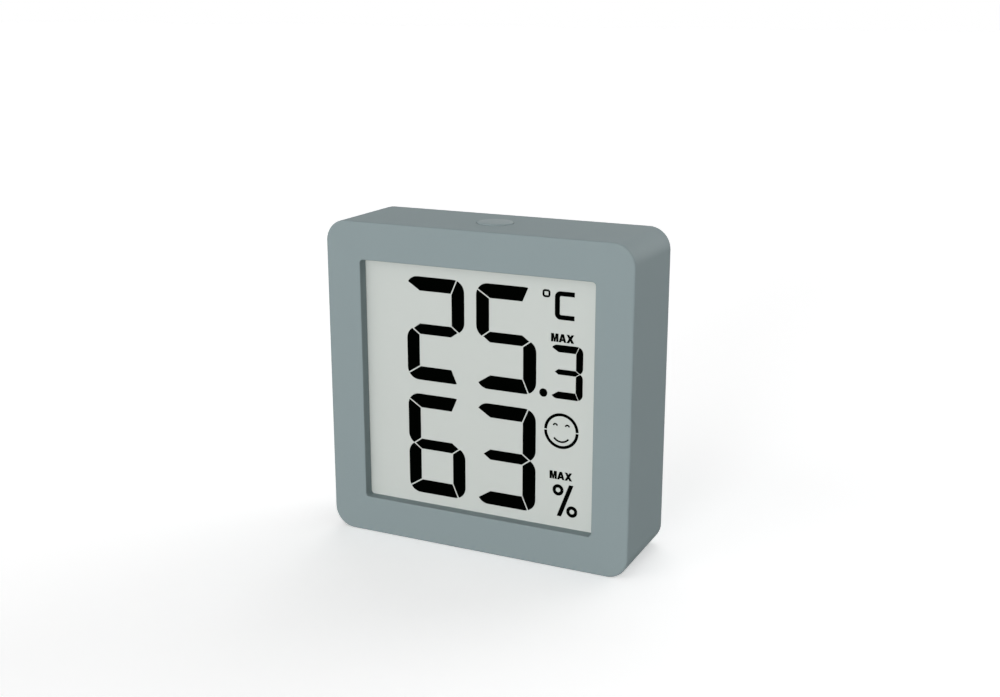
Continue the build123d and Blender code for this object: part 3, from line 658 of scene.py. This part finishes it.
# Acetal: a slippery off-white that looks slightly waxy.
plunger_acetal = grained(
    "acetal_white_moulded", "#dcdbd4", "#d5d4cc", 0.35, grain=0.2, depth=0.002)
for part in ("top_switch_body", "unit_switch_body"):
    finish_node(part, switch_nylon)
for part in ("top_switch_plunger", "unit_switch_plunger"):
    finish_node(part, plunger_acetal)
leg_height, leg_stock, leg_width, leg_root = 0.9, 0.2, 0.7, 0.1
leg_out, leg_bend, leg_toe = 0.6, 0.15, 1.4
switch_half = 3.0
legs = bmesh.new()
for middle_x, leg_levels in ((unit_x, (unit_z - leg_aside, unit_z + leg_aside)),
                             (0.0, (top_leg_z,))):
    for side in (-1, 1):
        wall = middle_x + side * (switch_half - leg_root)
        high, flat = board_back + leg_height, board_back + 2 * copper + leg_stock / 2
        route = [(wall, high), (wall + side * (leg_out - 0.2), high),
                 (wall + side * leg_out, high - leg_bend),
                 (wall + side * leg_out, flat + leg_bend),
                 (wall + side * (leg_out + leg_bend), flat), (wall + side * leg_toe, flat)]
        for level in leg_levels:
            add_prism(legs, band(route, leg_stock), level - leg_width / 2, level + leg_width / 2,
                      upright=True)
dress(as_object("switch_legs", legs), tinned_copper)


# Solder joints

# Tin solder that ran up each wire or pin and froze in a hollow cone. The leads are also soldered
# to the tabs of the battery contacts.


def end_tree(tree, instances, material):
    """Ends a tree with real geometry in its material."""
    real = add_node(tree, "GeometryNodeRealizeInstances", {"Geometry": instances})
    dressed = add_node(tree, "GeometryNodeSetMaterial", {
        "Geometry": real.outputs[0], "Material": material})
    add_node(tree, "NodeGroupOutput", {0: dressed.outputs[0]})


def settle(piece):
    """Turns a piece and its modifiers into a plain mesh."""
    bpy.context.view_layer.update()
    made = piece.evaluated_get(bpy.context.evaluated_depsgraph_get())
    mesh = bpy.data.meshes.new_from_object(made)
    piece.modifiers.clear()
    piece.data = mesh


def grow(name, tree, places, values):
    """Runs a tree on places in millimetres and keeps the result as a plain piece."""
    points = bpy.data.meshes.new(name)
    points.from_pydata([[value * mm for value in place] for place in places], [], [])
    piece = bpy.data.objects.new(name, points)
    bpy.context.scene.collection.objects.link(piece)
    modifier = piece.modifiers.new("making", "NODES")
    modifier.node_group = tree
    for label, value in values.items():
        set_input(modifier, label, value)
    settle(piece)
    return piece


joint_tree, given = new_tree("solder_joint", {
    "Geometry": "Geometry", "Foot radius": "Float", "Neck radius": "Float", "Height": "Float",
    "Turn": "Rotation", "Material": "Material"})
spine_steps, rim_steps, hollow = 9, 20, 2.4
top = add_node(joint_tree, "ShaderNodeCombineXYZ", {2: given["Height"]})
spine = add_node(joint_tree, "GeometryNodeCurvePrimitiveLine", {"End": top.outputs[0]})
fine_spine = add_node(joint_tree, "GeometryNodeResampleCurve", {
    "Curve": spine.outputs[0], "Count": spine_steps})
factor = add_node(joint_tree, "GeometryNodeSplineParameter").outputs["Factor"]
left_over = add_node(joint_tree, "ShaderNodeMath", {0: 1.0, 1: factor}, operation="SUBTRACT")
flare = add_node(joint_tree, "ShaderNodeMath", {
    0: left_over.outputs[0], 1: hollow}, operation="POWER")
spread = add_node(joint_tree, "ShaderNodeMath", {
    0: given["Foot radius"], 1: given["Neck radius"]}, operation="SUBTRACT")
radius = add_node(joint_tree, "ShaderNodeMath", {
    0: flare.outputs[0], 1: spread.outputs[0], 2: given["Neck radius"]},
    operation="MULTIPLY_ADD")
rim = add_node(joint_tree, "GeometryNodeCurvePrimitiveCircle", {
    "Resolution": rim_steps, "Radius": 1.0})
cone = add_node(joint_tree, "GeometryNodeCurveToMesh", {
    "Curve": fine_spine.outputs[0], "Profile Curve": rim.outputs[0],
    "Scale": radius.outputs[0], "Fill Caps": True})
smooth_cone = add_node(joint_tree, "GeometryNodeSetShadeSmooth", {"Geometry": cone.outputs[0]})
cones = add_node(joint_tree, "GeometryNodeInstanceOnPoints", {
    "Points": given["Geometry"], "Instance": smooth_cone.outputs[0], "Rotation": given["Turn"]})
end_tree(joint_tree, cones.outputs[0], given["Material"])

# Tin solder: bright metal with a soft, slightly wrinkled skin.
solder = grained(
    "solder_tin_frozen", "#c9cac8", "#b7b9b7", 0.24, grain=0.4, depth=0.01,
    sockets={"Metallic": 1.0})
joint_turns = {"back": (-90.0, 0.0, 0.0), "left": (0.0, -90.0, 0.0), "right": (0.0, 90.0, 0.0)}
tab_x, tab_y, tab_z = 24.7, 3.7, 20.8
# For each set: its places, the radius of the foot and of the neck, the height and the way it faces.
joint_places = {
    "lead_joints": ([(side * lead_x, board_back, lead_z) for side in (-1, 1)],
                    1.15, 0.52, 1.0, "back"),
    "crystal_joints": ([(pin_x, board_back, part_row_z + side * pin_aside) for side in (-1, 1)],
                       0.34, 0.21, 0.5, "back"),
    "positive_tab_joint": ([(tab_x, tab_y, tab_z)], 1.0, 0.52, 0.8, "left"),
    "negative_tab_joint": ([(-tab_x, tab_y, tab_z)], 1.0, 0.52, 0.8, "right")}
for name, (places, foot, neck, height, way) in joint_places.items():
    joint = grow(name, joint_tree, places, {
        "Foot radius": foot * mm, "Neck radius": neck * mm, "Height": height * mm,
        "Turn": [math.radians(turn) for turn in joint_turns[way]], "Material": solder})
    dress(joint, solder)


# Screws

# Eight pan-head screws in zinc-plated steel, cold-headed with a cross recess and rolled with a
# coarse thread. They cut their own thread in the plastic posts and bosses.

# Zinc plate: bright bluish metal with a fine cloudy grain.
zinc_steel = grained(
    "steel_zinc_plated", "#b9bbbd", "#aeb1b4", 0.3, grain=0.12, depth=0.002,
    sockets={"Metallic": 1.0})
for part in ("board_screws", "cover_screws"):
    finish_node(part, zinc_steel)

thread_tree, given = new_tree("rolled_thread", {
    "Geometry": "Geometry", "Core radius": "Float", "Ridge": "Float", "Pitch": "Float",
    "Length": "Float", "Turn": "Rotation", "Material": "Material"})
points_each_turn, ridge_sides = 20, 4
run_out_share, run_out_scale = 0.06, 0.3
turns = add_node(thread_tree, "ShaderNodeMath", {
    0: given["Length"], 1: given["Pitch"]}, operation="DIVIDE")
helix = add_node(thread_tree, "GeometryNodeCurveSpiral", {
    "Resolution": points_each_turn, "Rotations": turns.outputs[0],
    "Start Radius": given["Core radius"], "End Radius": given["Core radius"],
    "Height": given["Length"]})
upright = add_node(thread_tree, "GeometryNodeSetCurveNormal", {
    "Curve": helix.outputs[0]}, mode="Z_UP")
crest = add_node(thread_tree, "GeometryNodeCurvePrimitiveCircle", {
    "Resolution": ridge_sides, "Radius": given["Ridge"]})
factor = add_node(thread_tree, "GeometryNodeSplineParameter").outputs["Factor"]
from_ends = add_node(thread_tree, "ShaderNodeMath", {0: factor, 1: 0.5}, operation="PINGPONG")
run_out = add_node(thread_tree, "ShaderNodeMapRange", {
    "Value": from_ends.outputs[0], "From Max": run_out_share, "To Min": run_out_scale,
    "To Max": 1.0})
ridge = add_node(thread_tree, "GeometryNodeCurveToMesh", {
    "Curve": upright.outputs[0], "Profile Curve": crest.outputs[0],
    "Scale": run_out.outputs[0], "Fill Caps": True})
ridges = add_node(thread_tree, "GeometryNodeInstanceOnPoints", {
    "Points": given["Geometry"], "Instance": ridge.outputs[0], "Rotation": given["Turn"]})
end_tree(thread_tree, ridges.outputs[0], given["Material"])

screw_radius, ridge_height, under_head = 0.8, 0.15, 0.5
# For each set: the seats of the heads, and the pitch and the length of the thread.
screw_sets = {
    "board_screw_threads": ([(x, board_back, z) for x in (-26.3, 26.3) for z in (31.2, 50.2)],
                            0.6, 2.9),
    "cover_screw_threads": ([(x, 8.1, z) for x in (-26.0, 26.0) for z in (4.0, 56.0)], 0.75, 6.2)}
for name, (seats, pitch, length) in screw_sets.items():
    tops = [(x, y - under_head, z) for x, y, z in seats]
    thread = grow(name, thread_tree, tops, {
        "Core radius": screw_radius * mm, "Ridge": ridge_height * mm, "Pitch": pitch * mm,
        "Length": length * mm, "Turn": (math.radians(90), 0.0, 0.0), "Material": zinc_steel})
    dress(thread, zinc_steel)


# Rear cover and battery door

# Both are moulded in the case's ABS. The signs for the unit button and for the way that the door
# opens are sunk into their skin by raised marks in the tool.


def engraved(node_name, body, outlines, depth=0.3):
    """A copy of a moulded piece with outlines sunk into its back face, in the node's place."""
    back_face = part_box(node_name)[1].y / mm
    marks = bmesh.new()
    for outline in outlines:
        add_prism(marks, outline, back_face - depth, back_face + depth)
    stamp = as_object(node_name + "_stamp", marks)
    skin = bmesh.new()
    skin.from_mesh(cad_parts[node_name].data)
    piece = as_object(node_name + "_moulding", skin)
    cut = piece.modifiers.new("sunk_signs", "BOOLEAN")
    cut.operation, cut.solver, cut.object = "DIFFERENCE", "EXACT", stamp
    settle(piece)
    bpy.data.objects.remove(stamp)
    dress(piece, case_abs, body)
    shade_softly(piece, case_abs, moulded_edge)
    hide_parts(node_name)


def flipped(outline, middle_x):
    """An outline as it is drawn when it is read from behind, still anticlockwise."""
    return [(middle_x - u, w) for u, w in outline[::-1]]


# The unit sign is drawn 2 mm high and 6 mm wide, and cut a quarter larger.
sign_middle, sign_scale, unit_sign_z = 3.0, 1.25, 38.7
letter_c = band(arc((0.85, 1.0), 0.83, 50, 310, 20), 0.36)
letter_f = [(0, 0), (0.36, 0), (0.36, 0.80), (1.0, 0.80), (1.0, 1.16), (0.36, 1.16),
            (0.36, 1.64), (1.15, 1.64), (1.15, 2.0), (0, 2.0)]
degree = disc((0, 1.70), 0.29)
slash_mark = [(0, 0), (0.34, 0), (1.14, 2.0), (0.8, 2.0)]
unit_sign = [moved(degree, 0.3, 0), moved(letter_c, 0.75, 0), moved(slash_mark, 2.55, 0),
             moved(degree, 4.35, 0), moved(letter_f, 4.85, 0)]
engraved("rear_cover", "case", [
    moved(flipped(outline, sign_middle), unit_x, unit_sign_z, sign_scale)
    for outline in unit_sign])
# The arrow points down, to the door's lower edge.
arrow = [(0, -1.7), (1.45, -0.25), (1.1, 0.08), (0.26, -0.76), (0.26, 1.3),
         (-0.26, 1.3), (-0.26, -0.76), (-1.1, 0.08), (-1.45, -0.25)]
arrow_z = 11.6
engraved("battery_door", "battery_door", [moved(arrow, 0.0, arrow_z)])


# Battery cell

# A drawn steel can 10.5 mm across in a shrunk printed jacket. Both ends stay bare, and the jacket
# wraps a little over each shoulder.

cell_low, cell_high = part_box("battery_cell")
_, cell_y, cell_z = middle_of("battery_cell")
cell_radius = round(cell_high.z / mm - cell_z, 3)
bare_base, bare_shoulder, pale_band_x = 0.7, 1.3, 13.0
jacket_low, jacket_high = cell_low.x / mm + bare_base, cell_high.x / mm - bare_shoulder


def jacket_bands(tree, place):
    """A paler band round the jacket's last quarter, next to the positive end."""
    along = add_node(tree, "ShaderNodeSeparateXYZ", {0: place}).outputs["X"]
    return add_node(tree, "ShaderNodeMath", {
        0: along, 1: pale_band_x * mm}, operation="GREATER_THAN").outputs[0]


# Printed polyester: a smooth glossy film, dark grey with a silver band.
jacket = grained("polyester_printed_jacket", "#39424a", "#b4b8ba", 0.26, grain=1.2, depth=0.004,
                 pattern=jacket_bands)
can_steel, can_roughness = "#c4c3bf", 0.28
bare_ends(jacket, "X", (jacket_low + jacket_high) / 2, (jacket_high - jacket_low) / 2,
          can_steel, can_roughness)
finish_node("battery_cell", jacket)
ink = 0.02


def printed_bar(name, points, width, material):
    """A bar printed round the cell's jacket, its points in X and Z on the side of the door."""
    outline = band(points, width)
    half = len(points)
    mesh = bmesh.new()
    rings = [[mesh.verts.new((
        x * mm, (cell_y + math.sqrt((cell_radius + lift) ** 2 - (z - cell_z) ** 2)) * mm, z * mm))
        for x, z in outline] for lift in (-ink, ink)]
    for index in range(half - 1):
        across = 2 * half - 1 - index
        for edge in rings:
            mesh.faces.new((edge[index], edge[index + 1], edge[across - 1], edge[across]))
    for index in range(2 * half):
        after = (index + 1) % (2 * half)
        mesh.faces.new((rings[0][index], rings[0][after], rings[1][after], rings[1][index]))
    dress(as_object(name, mesh), material)


# Screen ink: a thin flat white.
white_ink = grained("screen_ink_white", "#e6e6e2", "#dededa", 0.5, grain=0.2, depth=0.001)
plus_x, minus_x, sign_half, bar_width, bar_steps = 9.5, -16.0, 1.3, 0.7, 4
plus_level, minus_level = [[
    (middle_x - sign_half + 2 * sign_half * step / bar_steps, cell_z)
    for step in range(bar_steps + 1)] for middle_x in (plus_x, minus_x)]
plus_lower, plus_upper = [[
    (plus_x, cell_z + side * (bar_width / 2 + (sign_half - bar_width / 2) * step / bar_steps))
    for step in range(bar_steps + 1)] for side in (-1, 1)]
for name, points in (("plus_level", plus_level), ("plus_lower", plus_lower),
                     ("plus_upper", plus_upper), ("minus_mark", minus_level)):
    printed_bar(name, points, bar_width, white_ink)


# Contacts

# A dimpled plate meets the nub, and a conical spring on a plain plate presses the cell against it.
# All are spring steel, stamped or coiled and then nickel plated.

# Nickel plate: a warm bright metal with faint rolling lines.
nickel_steel = grained(
    "steel_nickel_plated", "#cfcbc2", "#c6c2b8", 0.28, grain=0.1, depth=0.001,
    sockets={"Metallic": 1.0})
for part in ("positive_contact", "negative_plate", "negative_spring"):
    finish_node(part, nickel_steel, rounded_edge)


# Leads

# Stranded wire in PVC, red from the dimpled plate and black from the spring's plate. Each end is
# stripped and tinned where it is soldered.

# PVC: smooth extruded plastic with a soft gloss. A lead is bare near the tab, by its place in X,
# and near the board, by its place in Y from a point so far back that the other end stays covered.
sleeve_colours = {
    "positive_wire": ("pvc_red_extruded", "#b3201c", "#a91c19"),
    "negative_wire": ("pvc_black_extruded", "#161616", "#1b1b1b")}
bare_lead, far_back, strand_tin = 0.85, 10.0, "#c9cac8"
for part, (name, colour, shade) in sleeve_colours.items():
    sleeve = grained(name, colour, shade, 0.38, grain=0.3, depth=0.003)
    bare_ends(sleeve, "X", 0.0, tab_x - bare_lead, strand_tin, tin_roughness)
    bare_ends(sleeve, "Y", far_back, far_back - board_back - bare_lead, strand_tin, tin_roughness)
    finish_node(part, sleeve, rounded_edge)


# Buttons

# Moulded in the case's ABS and guided by their holes. Fingers have worn the grain a little, so the
# caps shine more than the walls round them, and the caps are also a touch paler than the case as a
# painted highlight.

# Handled ABS: the case's satin, smoothed a little, so it catches slightly more light. Its colour is
# a touch paler than the case's, which is a painted highlight.
worn_abs_with_painted_highlight = grained(
    "abs_blue_grey_handled_painted_highlight", "#8c999b", "#8a9799", 0.45, grain=0.16, depth=0.003,
    sockets={"IOR": 1.5, "Specular IOR Level": 0.055})
for part in ("top_button", "unit_button"):
    finish_node(part, worn_abs_with_painted_highlight)


# Studio floor and backdrop

# A pale plain table. It shows white to the camera where nothing shades it, and keeps the object's
# soft shadow.

floor_data = bpy.data.meshes.new("studio_floor")
reach = 4.0
floor_data.from_pydata(
    [(-reach, -reach, 0), (reach, -reach, 0), (reach, reach, 0), (-reach, reach, 0)], [],
    [(0, 1, 2, 3)])
floor = bpy.data.objects.new("studio_floor", floor_data)
bpy.context.scene.collection.objects.link(floor)
# Matt white paper: no gloss. The camera sees it white with a little glow, while it throws only
# half of the lamps' light back on the object.
camera_glow, thrown_back = 0.36, 0.5
floor_mat = bpy.data.materials.new("paper_white_matt")
floor_mat.use_nodes = True
tree = floor_mat.node_tree
tree.nodes.clear()
seen = add_node(tree, "ShaderNodeLightPath").outputs["Is Camera Ray"]
lift = add_node(tree, "ShaderNodeMath", {0: seen, 1: camera_glow}, operation="MULTIPLY")
glow = add_node(tree, "ShaderNodeEmission", {"Color": (1, 1, 1, 1), "Strength": lift.outputs[0]})
white = add_node(tree, "ShaderNodeMix", {
    0: seen, 6: (thrown_back, thrown_back, thrown_back, 1), 7: (1, 1, 1, 1)}, data_type="RGBA")
paper = add_node(tree, "ShaderNodeBsdfDiffuse", {"Color": white.outputs[2]})
both = add_node(tree, "ShaderNodeAddShader", {0: glow.outputs[0], 1: paper.outputs[0]})
add_node(tree, "ShaderNodeOutputMaterial", {"Surface": both.outputs[0]})
floor.data.materials.append(floor_mat)
floor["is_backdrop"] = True


# Light

# A low, soft key stands straight ahead and a weaker, wide one to the left of it. Four wide lamps
# to the right and behind lift the side, the top and the floor. The room adds a quarter.

world = bpy.data.worlds.new("studio")
world.use_nodes = True
bpy.context.scene.world = world
tree = world.node_tree
tree.nodes.clear()
path = add_node(tree, "ShaderNodeLightPath").outputs
direct = add_node(tree, "ShaderNodeMath", {
    0: path["Is Camera Ray"], 1: path["Is Glossy Ray"]}, operation="MAXIMUM")
shown = add_node(tree, "ShaderNodeMath", {
    0: direct.outputs[0], 1: path["Is Transmission Ray"]}, operation="MAXIMUM")
room_level = 0.274
strength = add_node(tree, "ShaderNodeMapRange", {
    "Value": shown.outputs[0], "To Min": room_level, "To Max": 1.0})
air = add_node(tree, "ShaderNodeBackground", {
    "Color": (1, 1, 1, 1), "Strength": strength.outputs[0]})
add_node(tree, "ShaderNodeOutputWorld", {"Surface": air.outputs[0]})

# For each lamp: its direction from the front, its height and its width in degrees, then its power.
lamps = {
    "front_key": (0, 3, 20, 2.435),
    "left_key": (-30, 20, 60, 0.774),
    "side_light": (120, 5, 40, 0.665),
    "right_back_light": (150, 10, 40, 1.529),
    "middle_back_light": (180, 25, 40, 0.319),
    "high_back_light": (200, 50, 40, 0.458),
}
for name, (azimuth, elevation, spread, power) in lamps.items():
    around, above = math.radians(azimuth), math.radians(elevation)
    towards = Vector((math.sin(around) * math.cos(above),
                      -math.cos(around) * math.cos(above), math.sin(above)))
    lamp = bpy.data.lights.new(name, "SUN")
    lamp.energy = power
    lamp.angle = math.radians(spread)
    stand = bpy.data.objects.new(name, lamp)
    bpy.context.scene.collection.objects.link(stand)
    stand.rotation_euler = towards.to_track_quat("Z", "Y").to_euler()


# Camera

# It stands to the right of the front and looks slightly down. Its place and its lens were fitted to
# the case's straight edges in the photograph.

lens = bpy.data.cameras.new("camera")
lens.sensor_fit = "HORIZONTAL"
lens.sensor_width = 36.0
lens.lens = 46.735
lens.clip_start = 0.01
camera = bpy.data.objects.new("camera", lens)
bpy.context.scene.collection.objects.link(camera)
camera.location = (0.099717, -0.208081, 0.099034)
camera.rotation_euler = (math.radians(74.874), 0.0, math.radians(25.398))
bpy.context.scene.camera = camera
bpy.context.scene.view_settings.view_transform = "Standard"

low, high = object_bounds()
